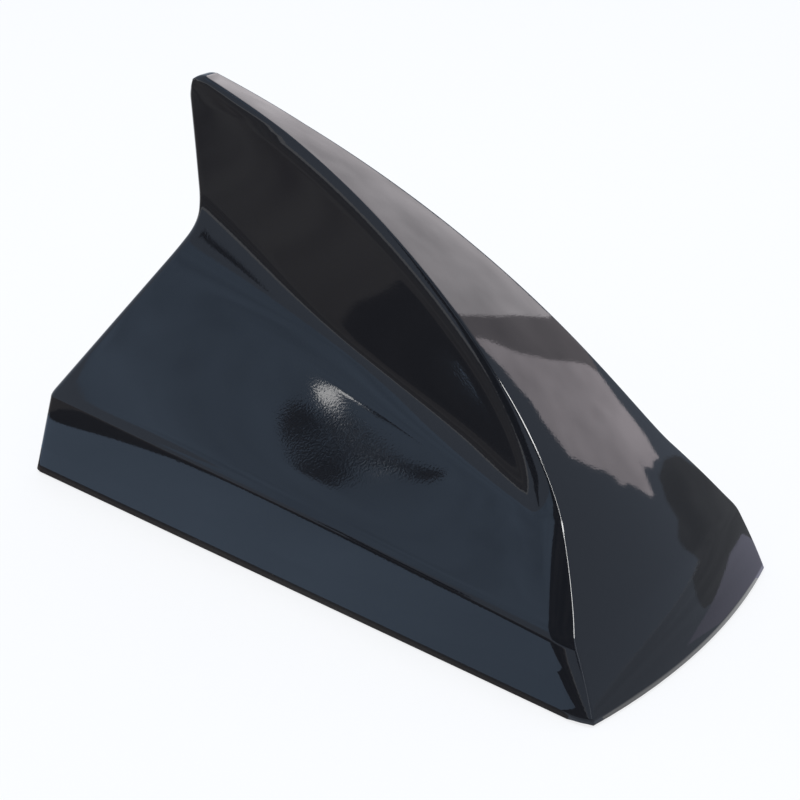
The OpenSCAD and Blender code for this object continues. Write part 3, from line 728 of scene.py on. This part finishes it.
def tapped_bushing():
    """Rings of the brass insert: up the thread in its bore, then down its outer wall."""
    rows = round((INSERT_HIGH - INSERT_LOW) / THREAD_PITCH * THREAD_ROWS)
    rings = []
    for row in range(rows + 1):
        z = mix(INSERT_LOW, INSERT_HIGH, row / rows)
        mouth = THREAD_CORE_R + THREAD_CHAMFER - min(z - INSERT_LOW, INSERT_HIGH - z)
        ring = []
        for i in range(THREAD_SIDES):
            turn = i / THREAD_SIDES
            groove = 1 - abs(2 * ((z / THREAD_PITCH - turn) % 1) - 1)
            depth = clamp(THREAD_STEEP * groove, 0, 1)
            ring.append((max(mix(THREAD_CORE_R, THREAD_ROOT_R, depth), mouth), turn, z))
        rings.append(ring)
    for z in (INSERT_HIGH, INSERT_LOW):
        rings.append([(INSERT_R, i / THREAD_SIDES, z) for i in range(THREAD_SIDES)])
    points = []
    for ring in rings:
        for r, turn, z in ring:
            a = 2 * math.pi * turn
            points.append(((BOLT_X + r * math.cos(a)) * MM, r * math.sin(a) * MM, z * MM))
    faces = []
    for k in range(len(rings)):
        low = THREAD_SIDES * k
        high = (low + THREAD_SIDES) % len(points)
        for i in range(THREAD_SIDES):
            j = (i + 1) % THREAD_SIDES
            faces.append((low + i, low + j, high + j, high + i))
    return points, faces


# Pieces


def mesh_piece(name, points, faces, material, smooth=True):
    """A mesh in metres with one material, its double points joined and its faces turned outward."""
    data = bpy.data.meshes.new(name)
    data.from_pydata([tuple(p) for p in points], [], faces)
    data.validate()
    shaped = bmesh.new()
    shaped.from_mesh(data)
    bmesh.ops.remove_doubles(shaped, verts=shaped.verts, dist=0.002 * MM)
    bmesh.ops.recalc_face_normals(shaped, faces=shaped.faces)
    shaped.to_mesh(data)
    shaped.free()
    for face in data.polygons:
        face.use_smooth = smooth
    data.materials.append(material)
    made = bpy.data.objects.new(name, data)
    bpy.context.scene.collection.objects.link(made)
    return made


# Names of the sizes that are lengths, kept in metres
LENGTHS = set()


def size(name, value, description):
    """A length in millimetres that the panel shows as a length."""
    LENGTHS.add(name.lower().replace(" ", "_"))
    return FloatProperty(
        name=name, description=description, default=value * MM, min=0.0,
        soft_max=value * 2 * MM, subtype="DISTANCE", unit="LENGTH", precision=5,
    )


class CoverSizes(bpy.types.PropertyGroup):
    """Sizes of the cover, the same as those of the solid."""

    length: size("Length", 145.4, "Length over the foot of the cover")
    width: size("Width", 63.8, "Width over the foot of the cover")
    peak_h: size("Peak h", 86, "Height at which the nose line and the trailing edge would meet")
    nose_bow: size("Nose bow", 3.5, "How far the front end of the foot bows out past its corners")
    wall: size("Wall", 2.2, "Wall of the moulded cover")
    seal_show: size("Seal show", 0.5, "Height of the seal's edge that shows under the cover")
    skirt_tail_h: size("Skirt tail h", 19, "Height of the skirt's top edge at the tail")
    skirt_share: FloatProperty(
        name="Skirt share", description="Part of the nose line in the skirt", default=0.12,
    )
    skirt_lean: size("Skirt lean", 2.4, "How far each side of the skirt leans in")
    tail_lean: size("Tail lean", 4.6, "How far the skirt's tail end leans forward")
    skirt_bow: size("Skirt bow", 1.7, "How far the skirt's top edge bows up")
    root_tail_h: size("Root tail h", 54.5, "Height where the fin leaves the shoulder at the tail")
    root_tail_in: size("Root tail in", 25.2, "Distance of the trailing edge from the tail end")
    root_sag: size("Root sag", 6.6, "How far the root line sags between its ends")
    root_tail_y: size("Root tail y", 2.9, "Half thickness of the trailing edge at the root")
    root_nose_y: size("Root nose y", 15.7, "Half width of the front face at the root")
    root_share: FloatProperty(
        name="Root share", description="Part of the nose line below the root", default=0.31,
    )
    tip_overhang: size("Tip overhang", 2.8, "How far the tip stands back past the trailing edge's root")
    tip_tail_y: size("Tip tail y", 1.5, "Half thickness of the trailing edge at the tip")
    tip_nose_y: size("Tip nose y", 0.9, "Half width of the front face at the tip")
    tip_r: size("Tip r", 4.8, "Radius of the tip, seen from the side")
    foot_handle_x: size("Foot handle x", 13, "How far the nose line leans back up to its lower handle")
    foot_handle_h: size("Foot handle h", 34.2, "Height of the nose line's lower handle")
    tip_handle_x: size("Tip handle x", 69, "Distance of the upper handle in front of the tip")
    tip_handle_drop: size("Tip handle drop", 15.6, "Drop of the upper handle below the peak")
    edge_band: size("Edge band", 4.2, "Width of the soft band beside the nose edge")
    edge_roll: size("Edge roll", 1.2, "How far that band rolls inward")
    edge_ease: size("Edge ease", 0.4, "Reach of the rounding on the nose edge to each side")
    tail_corner_r: size("Tail corner r", 1.8, "Radius of the tail's upright corners")
    tail_bow: size("Tail bow", 0.8, "How far the tail face bows out between its corners")


class StudioSettings(bpy.types.PropertyGroup):
    """Colour of the lacquer, and where the camera stands."""

    paint: StringProperty(
        name="Paint", description="Colour of the lacquer, as sRGB hex", default="1b1c1f",
    )
    turn: FloatProperty(
        name="Turn", description="How far round to the nose the camera stands, from square to the right side",
        default=math.radians(38.49), subtype="ANGLE", unit="ROTATION",
    )
    rise: FloatProperty(
        name="Rise", description="How far the camera looks down", default=math.radians(27.2),
        subtype="ANGLE", unit="ROTATION",
    )
    away: FloatProperty(
        name="Away", description="Distance of the camera from the point it looks at",
        default=325.95 * MM, subtype="DISTANCE", unit="LENGTH",
    )
    view: FloatProperty(
        name="View", description="Angle that the camera sees", default=math.radians(28),
        subtype="ANGLE", unit="ROTATION",
    )


class AERIAL_OT_cover(bpy.types.Operator):
    """Make the lacquered cover from its sizes, in place of the plain solid"""

    bl_idname = "aerial.cover"
    bl_label = "Cover"

    def execute(self, context):
        form = CoverForm(context.scene.aerial_cover)
        fin_and_tip = [(FIN_LEVEL, form.tip_level, FIN_RINGS), (form.tip_level, LAST_LEVEL, TIP_RINGS)]
        core_end = [(FIN_LEVEL, form.core_top, CORE_RINGS)]
        outer = [form.half_ring(v, RING_STEPS) for v in spaced(OUTER_LEVELS + fin_and_tip) + [LAST_LEVEL]]
        inner = [form.inner_ring(v, RING_STEPS) for v in spaced(INNER_LEVELS + core_end) + [form.core_top]]
        count = len(outer[0])
        points = mirrored(outer) + mirrored(inner)
        hollow = 2 * count * len(outer)
        faces = skin(outer, 0) + cap(count, hollow - 2 * count)
        faces += skin(inner, hollow) + cap(count, hollow + 2 * count * (len(inner) - 1))
        for i in range(count - 1):
            for a in (i, i + count):
                faces.append((a, a + 1, hollow + a + 1, hollow + a))
        boss_y = form.width / 2 - BOSS_SIDE_IN
        for x in (BOSS_TAIL_IN - form.length / 2, form.length / 2 - BOSS_NOSE_IN):
            for side in (-1, 1):
                for more_points, more_faces in (boss(form, x, side * boss_y), rib(form, x, side, boss_y)):
                    start = len(points)
                    points += more_points
                    faces += [tuple(start + i for i in face) for face in more_faces]
        studio = context.scene.aerial_studio
        cover = mesh_piece("lacquered_cover", points, faces, gloss_lacquer(studio.paint))
        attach(cover, "root")
        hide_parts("cover")
        return {"FINISHED"}


def dress(node, material):
    """Gives a CAD node its finished material."""
    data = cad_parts[node].data
    data.materials.clear()
    data.materials.append(material)


class AERIAL_OT_base(bpy.types.Operator):
    """Finish the base plate and what seals, earths and vents it"""

    bl_idname = "aerial.base"
    bl_label = "Base and seals"

    def execute(self, context):
        dress("base_plate", cast_aluminium())
        dress("perimeter_seal", moulded_rubber("moulded_seal_rubber", "0b0c0e", "121316"))
        dress("roof_pad", foam("closed_cell_foam", "1d1e20", "2f3033", 0.7))
        dress("cable_grommet", moulded_rubber("moulded_grommet_rubber", "101113", "191a1c"))
        dress("vent_plug", moulded_plastic("sintered_vent_plastic", "cfcfcb", "deded9", 0.7, 0.15))
        brass = turned_metal("turned_brass", "a88640", "bd9a55", 0.25, 0.3)
        insert = mesh_piece("tapped_insert", *tapped_bushing(), brass, smooth=False)
        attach(insert, "root")
        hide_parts("threaded_insert")
        dress("earth_ring", rolled_metal("tinned_spring_steel", "a9abae", "b9bbbe", 0.33))
        return {"FINISHED"}


class AERIAL_OT_fasteners(bpy.types.Operator):
    """Finish the screws"""

    bl_idname = "aerial.fasteners"
    bl_label = "Fasteners"

    def execute(self, context):
        zinc = rolled_metal("zinc_plated_steel", "b4b8bf", "c4c6ca", 0.3, 4.0)
        dress("cover_screws", zinc)
        dress("board_screws", zinc)
        return {"FINISHED"}


class AERIAL_OT_boards(bpy.types.Operator):
    """Finish the circuit boards and what stands on them"""

    bl_idname = "aerial.boards"
    bl_label = "Circuit boards"

    def execute(self, context):
        mask = solder_mask()
        tin = rolled_metal("bright_tin_plate", "bfc1c4", "cdcfd1", 0.28)
        dress("main_board", mask)
        dress("fin_board", mask)
        dress("shield_can", tin)
        dress("rear_cell_element", tin)
        dress("side_cell_element", tin)
        dress("board_chips", moulded_plastic("chip_epoxy", "161617", "1e1e20", 0.5, 0.1))
        dress("cable_sockets", moulded_plastic("socket_polyamide", "643372", "713c80", 0.42))
        dress("fin_board_clips", rolled_metal("rolled_fork_brass", "b3914c", "c5a461", 0.3))
        dress("fin_board_foam", foam("open_cell_foam", "2b2c2f", "46474b", 0.9))
        return {"FINISHED"}


class AERIAL_OT_aerials(bpy.types.Operator):
    """Finish the satellite patch and the loading coil"""

    bl_idname = "aerial.aerials"
    bl_label = "Patch and coil"

    def execute(self, context):
        dress("patch_tape", foam("white_foam_tape", "cfcec8", "e6e5e0", 0.4))
        dress("patch_ceramic", silvered_ceramic())
        dress("patch_pin", turned_metal("silver_plated_pin", "c4c6c9", "d4d6d8", 0.2, 0.22))
        dress("coil_former", moulded_plastic("bobbin_polyester", "d9d3bf", "e6e1d0", 0.45))
        dress("coil_winding", turned_metal("enamelled_copper_wire", "9c5226", "b5662f", 0.6, 0.25))
        return {"FINISHED"}


# Half the floor's width in metres, and its level in millimetres: a hair under the faces that stand on it
FLOOR_REACH = 40.0
FLOOR_LEVEL = -0.05

# Square lamp over the aerial, in millimetres, and how bright its face is
ROOM_LAMP_HIGH = 900
ROOM_LAMP_WIDE = 900
ROOM_LAMP_RADIANCE = 1.1

# Middle of the stage, and the steps up and right in the picture from under it to where the camera looks
STAGE_CENTRE = (3.5, 0, 25)
AIM_UP = 25.09
AIM_RIGHT = -0.03


def softbox(name, place_mm, target_mm, wide_mm, tall_mm, radiance):
    """A flat white lamp whose face is as bright as given, wherever it stands."""
    data = bpy.data.lights.new(name, "AREA")
    data.shape = "RECTANGLE"
    data.size = wide_mm * MM
    data.size_y = tall_mm * MM
    data.energy = radiance * math.pi * data.size * data.size_y
    made = bpy.data.objects.new(name, data)
    made.location = Vector(place_mm) * MM
    made.rotation_euler = (Vector(target_mm) - Vector(place_mm)).to_track_quat("-Z", "Y").to_euler()
    made.visible_camera = False
    bpy.context.scene.collection.objects.link(made)
    return made


def hide_from_all_but_gloss(made):
    """Lets a paper or cloth show in gloss alone, so that it neither hides, shades nor lights anything."""
    made.visible_camera = False
    made.visible_diffuse = False
    made.visible_shadow = False
    made.visible_transmission = False


# Outlines of the papers and cloths in millimetres: across and up their own plane, or x and y of flat ones
UPPER_WINDOW = [
    (-760, 95), (-320, 90), (-230, 50), (-150, -10), (-100, -45), (-75, -78), (-50, -52), (-22, 0),
    (2, 52), (26, 99), (44, 150), (60, 200), (90, 330), (60, 520), (-760, 520),
]
LOWER_WINDOW = [
    (19, -101), (17, -129), (55, -160), (89, -213), (110, -222), (129, -205), (150, -200), (168, -172),
    (190, -180), (217, -196), (226, -188), (230, -153), (238, -122), (250, -112), (262, -70), (276, -44),
    (284, -6), (290, 20), (262, 60), (240, 84), (208, 104), (190, 130), (166, 149), (140, 180),
    (120, 215), (108, 205), (103, 175), (100, 90), (74, 4), (40, -60),
]
WINDOW_BAR = [(-90, -130), (30, -130), (80, 0), (110, 120), (150, 260), (40, 260), (0, 80), (-60, -40)]
LOW_FLAG = [
    (58, -275), (100, -235), (158, -211), (201, -230), (222, -267), (267, -271), (289, -433), (300, -560),
    (-300, -560), (-300, -330), (36, -330),
]
EDGE_STRIP = [
    (-30, -170), (50, -170), (35, -90), (40, 6), (130, 0), (140, 18), (70, 30), (0, 52), (-120, 88),
    (-290, 92), (-290, 46), (-230, 10), (-130, -8), (-45, -8), (-45, -90),
]
EDGE_THREAD = [(-12, -240), (12, -240), (12, 230), (-12, 230)]
SKY_PAPER = [(-420, -150), (60, -150), (120, -80), (110, 0), (100, 100), (110, 420), (-420, 420)]
HORIZON_FLAG = [
    (-125, -450), (-35, -450), (-35, -330), (-10, -320), (-10, -180), (-40, -220), (-60, -262),
    (-125, -272),
]
NOSE_FLAG = [(-290, -330), (270, -330), (262, 40), (225, 150), (150, 280), (-200, 290), (-270, 40)]
SKY_GAP = [
    (50, 166), (55, 158), (60, 150), (66, 146), (67, 160), (65, 180), (66, 192), (69, 203), (72, 214),
    (68, 215), (64, 206), (60, 196), (58, 186), (52, 182),
]
SKY_LAMP = [(42, 196), (50, 195), (57, 204), (56, 216), (46, 216)]
NEAR_PAPER = [
    (-92, -45), (-80, -46), (-73, -48), (-67, -50), (-60, -52), (-52, -54), (-32, -56), (-6, -54),
    (22, -51), (46, -49), (59, -48), (59, -20), (40, -28), (-92, -31),
]
FOOT_PAPER = [(-100, -53), (66, -53), (62, -34.2), (-100, -34.2)]
SIDE_FLAG = [(-112, -34), (150, -34), (150, -400), (-96, -86)]
FAR_FLAG = [(-900, -30), (150, -30), (150, -900), (-900, -900)]
CORNER_PAPER = [
    (65, 36), (69.5, 28), (73.5, 19), (75.5, 12), (84, 8), (88, 20), (91, 37), (95, 55), (100, 84),
    (87, 84), (76, 60),
]
FRONT_PAPER = [
    (62, -34), (110, -60), (4000, -60), (4000, 4000), (3250, 4000), (118, 62), (96, 36), (70, 31),
    (73, 18), (74, 0), (73, -18), (70, -28),
]
FRONT_FLAG = [(65, 36), (70, 31), (4000, 31), (4000, 4000), (40, 4000), (40, 37)]


def reflector(name, outline_mm, stand, material):
    """A cut sheet that faces the origin. Its stand says how many degrees round from the nose it is, how
    many up, and how many millimetres away."""
    turn, rise, away = math.radians(stand[0]), math.radians(stand[1]), stand[2]
    out = Vector((math.cos(rise) * math.cos(turn), math.cos(rise) * math.sin(turn), math.sin(rise)))
    right = Vector((out.y, -out.x, 0)).normalized()
    up = right.cross(out)
    points = [out * away + right * u + up * w for u, w in outline_mm]
    made = mesh_piece(name, [p * MM for p in points], [tuple(range(len(points)))], material, smooth=False)
    hide_from_all_but_gloss(made)
    return made


def laid(name, outline_mm, high_mm, material):
    """A cut sheet that lies flat, on the floor or a little above it."""
    points = [(x * MM, y * MM, high_mm * MM) for x, y in outline_mm]
    made = mesh_piece(name, points, [tuple(range(len(points)))], material, smooth=False)
    hide_from_all_but_gloss(made)
    return made


def lit_paper(name, colour, strength):
    """Translucent paper with a lamp behind it: even light with faint clouds where the fibres lie thicker."""
    made, tree = new_material(name)
    clouds = grain(tree, 90.0)
    level = add(
        tree, "ShaderNodeMapRange",
        {"From Min": 0.3, "From Max": 0.7, "To Min": 0.82 * strength, "To Max": 1.12 * strength},
        {"Value": (clouds, "Fac")},
    )
    light = add(
        tree, "ShaderNodeEmission", {"Color": linear(colour)}, {"Strength": (level, "Result")}
    )
    return finish(made, tree, light, "Emission")


def floor_paper():
    """Matt white studio paper. For the camera and in gloss and glass it is mostly lit by itself, so that
    it stays white under a soft shadow."""
    made, tree = new_material("matt_studio_paper")
    path = add(tree, "ShaderNodeLightPath")
    seen = add(
        tree, "ShaderNodeMath", {"operation": "MAXIMUM"},
        {0: (path, "Is Camera Ray"), 1: (path, "Is Glossy Ray")},
    )
    seen = add(
        tree, "ShaderNodeMath", {"operation": "MAXIMUM"}, {0: (seen, 0), 1: (path, "Is Transmission Ray")}
    )
    share = add(tree, "ShaderNodeMath", {"operation": "MULTIPLY", 1: 0.72}, {0: (seen, 0)})
    paper = add(tree, "ShaderNodeBsdfDiffuse", {"Color": linear("f4f4f4")})
    glow = add(tree, "ShaderNodeEmission", {"Color": (1, 1, 1, 1), "Strength": 1.1})
    both = add(
        tree, "ShaderNodeMixShader", links={"Fac": (share, 0), 1: (paper, "BSDF"), 2: (glow, "Emission")}
    )
    return finish(made, tree, both, "Shader")


def flag_cloth(name, dark, light):
    """Flat flag cloth which takes light away from the gloss. Its colour carries painted light and shade of
    soft folds.
    """
    made, tree = new_material(name)
    # Painted light and shade: noise in the colour stands for folds that the flat cloth does not have
    painted_fold_shade = grain(tree, 60.0, 2.0)
    shader = add(
        tree, "ShaderNodeBsdfDiffuse", links={"Color": (shaded(tree, painted_fold_shade, dark, light), "Color")}
    )
    return finish(made, tree, shader)


def hang_reflections():
    """Hangs and lays the papers and cloths that the lacquer reflects."""
    cloth = flag_cloth("dark_flag_cloth", "4a4440", "7a706a")
    far_cloth = flag_cloth("brown_flag_cloth", "8a7d74", "b0a498")
    sky = lit_paper("sky_light", "b6d0f0", 1.1)
    low = lit_paper("low_light", "bec8d8", 0.84)
    dim = lit_paper("dim_light", "dde0e6", 0.42)
    reflector("upper_window", UPPER_WINDOW, (72, 35, 650), lit_paper("upper_light", "f2ecf0", 4.0))
    reflector("lower_window", LOWER_WINDOW, (72, 35, 650), lit_paper("lower_light", "f3e9ef", 3.3))
    reflector("window_bar", WINDOW_BAR, (72, 35, 655), lit_paper("bar_light", "e6dde2", 1.35))
    reflector("low_flag", LOW_FLAG, (72, 35, 640), dim)
    reflector("edge_strip", EDGE_STRIP, (-38, 55, 600), lit_paper("edge_light", "ffffff", 22.0))
    reflector("edge_thread", EDGE_THREAD, (-34, 25, 600), lit_paper("thread_light", "e6ecf6", 6.0))
    reflector("sky_paper", SKY_PAPER, (-130, 35, 650), sky)
    reflector("horizon_flag", HORIZON_FLAG, (-122, 35, 645), cloth)
    reflector("nose_flag", NOSE_FLAG, (-79, 35, 642), cloth)
    reflector("sky_gap", SKY_GAP, (-130, 35, 640), cloth)
    reflector("sky_lamp", SKY_LAMP, (-130, 35, 638), lit_paper("lamp_light", "ffffff", 9.0))
    laid("near_paper", NEAR_PAPER, 6.0, sky)
    laid("foot_paper", FOOT_PAPER, 0.4, sky)
    laid("side_flag", SIDE_FLAG, 0.3, cloth)
    laid("far_flag", FAR_FLAG, 0.2, far_cloth)
    laid("corner_paper", CORNER_PAPER, 0.4, lit_paper("corner_light", "c6c6dc", 1.15))
    laid("front_paper", FRONT_PAPER, 0.3, low)
    laid("front_flag", FRONT_FLAG, 0.2, dim)


def fill_air(scene):
    """Even, slightly blue light from all round."""
    world = bpy.data.worlds.new("studio_air")
    world.use_nodes = True
    tree = world.node_tree
    tree.nodes.clear()
    air = add(tree, "ShaderNodeBackground", {"Color": linear("b9c6da"), "Strength": 0.95})
    add(tree, "ShaderNodeOutputWorld", links={"Surface": (air, "Background")})
    scene.world = world


def stand_camera(scene, studio):
    """Stands the camera as the photograph's, aimed a little above the floor under the fin."""
    back = Vector((
        math.sin(studio.turn) * math.cos(studio.rise),
        -math.cos(studio.turn) * math.cos(studio.rise),
        math.sin(studio.rise),
    ))
    right = Vector((math.cos(studio.turn), math.sin(studio.turn), 0))
    up = back.cross(right)
    target = (Vector((STAGE_CENTRE[0], 0, 0)) + up * AIM_UP + right * AIM_RIGHT) * MM
    data = bpy.data.cameras.new("camera")
    data.angle = studio.view
    data.clip_start = 0.01
    camera = bpy.data.objects.new("camera", data)
    camera.matrix_world = Matrix((right, up, back)).transposed().to_4x4()
    camera.location = target + back * studio.away
    scene.collection.objects.link(camera)
    scene.camera = camera


class AERIAL_OT_stage(bpy.types.Operator):
    """Lay the floor, hang the lamp, papers and cloths, and stand the camera as the photograph's"""

    bl_idname = "aerial.stage"
    bl_label = "Stage"

    def execute(self, context):
        scene = context.scene
        square = [
            (x * FLOOR_REACH, y * FLOOR_REACH, FLOOR_LEVEL * MM)
            for x, y in ((-1, -1), (1, -1), (1, 1), (-1, 1))
        ]
        floor = mesh_piece("studio_floor", square, [(0, 1, 2, 3)], floor_paper(), smooth=False)
        room = softbox(
            "room_softbox", (0, 0, ROOM_LAMP_HIGH), STAGE_CENTRE, ROOM_LAMP_WIDE, ROOM_LAMP_WIDE,
            ROOM_LAMP_RADIANCE,
        )
        room.visible_glossy = False
        hang_reflections()
        fill_air(scene)
        stand_camera(scene, scene.aerial_studio)
        scene.view_settings.view_transform = "Standard"
        return {"FINISHED"}


class AERIAL_PT_panel(bpy.types.Panel):
    """Lists the aerial's pieces and its stage"""

    bl_label = "Shark fin aerial"
    bl_idname = "AERIAL_PT_panel"
    bl_space_type = "VIEW_3D"
    bl_region_type = "UI"
    bl_category = "Aerial"

    def draw(self, context):
        layout = self.layout
        for operator in OPERATORS:
            layout.operator(operator.bl_idname)
        for group in (context.scene.aerial_cover, context.scene.aerial_studio):
            box = layout.box()
            for name in group.__annotations__:
                box.prop(group, name)


OPERATORS = (
    AERIAL_OT_cover,
    AERIAL_OT_base,
    AERIAL_OT_fasteners,
    AERIAL_OT_boards,
    AERIAL_OT_aerials,
    AERIAL_OT_stage,
)
CLASSES = (CoverSizes, StudioSettings, *OPERATORS, AERIAL_PT_panel)


def register():
    for kind in CLASSES:
        bpy.utils.register_class(kind)
    bpy.types.Scene.aerial_cover = PointerProperty(type=CoverSizes)
    bpy.types.Scene.aerial_studio = PointerProperty(type=StudioSettings)


def unregister():
    del bpy.types.Scene.aerial_studio
    del bpy.types.Scene.aerial_cover
    for kind in reversed(CLASSES):
        bpy.utils.unregister_class(kind)


def main():
    register()
    bpy.ops.aerial.cover()
    bpy.ops.aerial.base()
    bpy.ops.aerial.fasteners()
    bpy.ops.aerial.boards()
    bpy.ops.aerial.aerials()
    bpy.ops.aerial.stage()


if __name__ == "__main__":
    main()
